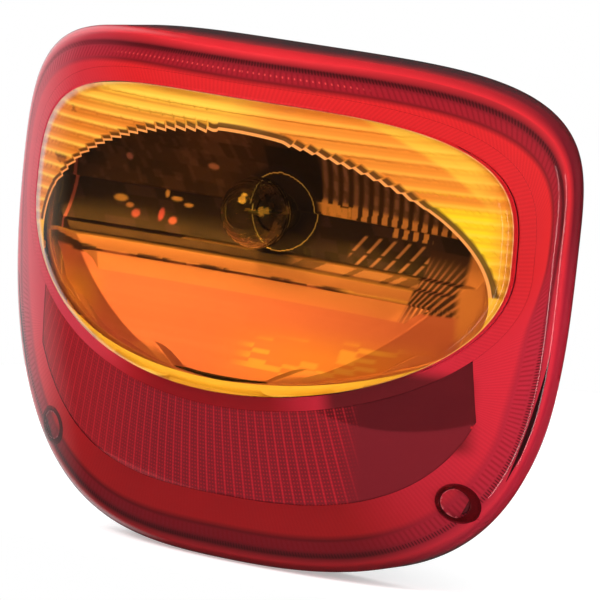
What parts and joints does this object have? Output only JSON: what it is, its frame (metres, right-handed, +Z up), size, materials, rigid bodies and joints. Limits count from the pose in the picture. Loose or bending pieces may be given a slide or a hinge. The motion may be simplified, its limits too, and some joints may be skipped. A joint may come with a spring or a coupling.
{
  "type": "tail light cluster",
  "caption": "Domed rear lamp cluster with a ribbed amber window over a red lens with a prismatic reflex area, screwed to a dark housing with rear studs and a blade inlet.",
  "frame": {"origin": "centre of the pattern of the four mounting studs, in the plane of the lens rim", "axes": "+Y along the studs to the vehicle, so the lens faces -Y; +Z up, with the indicator window above; +X to the right seen from behind the vehicle"},
  "size_m": [0.23, 0.0782, 0.1815],
  "materials": {
    "red_lens_plastic": "tinted transparent, polished outside",
    "amber_lens_plastic": "tinted transparent, ribbed inside",
    "reflex_plastic": "tinted transparent, prismatic inside",
    "seal_rubber": "matt",
    "housing_plastic": "fine grained moulding",
    "metallised_plastic": "vacuum metallised",
    "bulb_glass": "clear",
    "filament_wire": "drawn wire",
    "cap_brass": "pressed",
    "cap_insulation": "moulded",
    "contact_solder": "solder",
    "socket_steel": "pressed, plated",
    "strip_brass": "stamped",
    "zinc_steel": "zinc plated",
    "pad_foam": "closed-cell foam",
    "vent_membrane": "porous membrane"
  },
  "bodies": {
    "root": {"red_lens": "red_lens_plastic", "amber_lens": "amber_lens_plastic", "reflex_insert": "reflex_plastic", "lens_seal": "seal_rubber", "housing": "housing_plastic", "indicator_reflector": "metallised_plastic", "stop_tail_reflector": "metallised_plastic", "indicator_bulb_glass": "bulb_glass", "indicator_bulb_filament": "filament_wire", "indicator_bulb_cap": "cap_brass", "indicator_bulb_insulator": "cap_insulation", "indicator_bulb_contact": "contact_solder", "stop_tail_bulb_glass": "bulb_glass", "stop_tail_bulb_filaments": "filament_wire", "stop_tail_bulb_cap": "cap_brass", "stop_tail_bulb_insulator": "cap_insulation", "stop_tail_bulb_contacts": "contact_solder", "indicator_socket": "socket_steel", "stop_tail_socket": "socket_steel", "earth_strip": "strip_brass", "indicator_feed_strip": "strip_brass", "stop_feed_strip": "strip_brass", "tail_feed_strip": "strip_brass", "lens_screws": "zinc_steel", "mounting_studs": "zinc_steel", "rear_pad": "pad_foam", "vent_patch": "vent_membrane"}
  },
  "joints": []
}
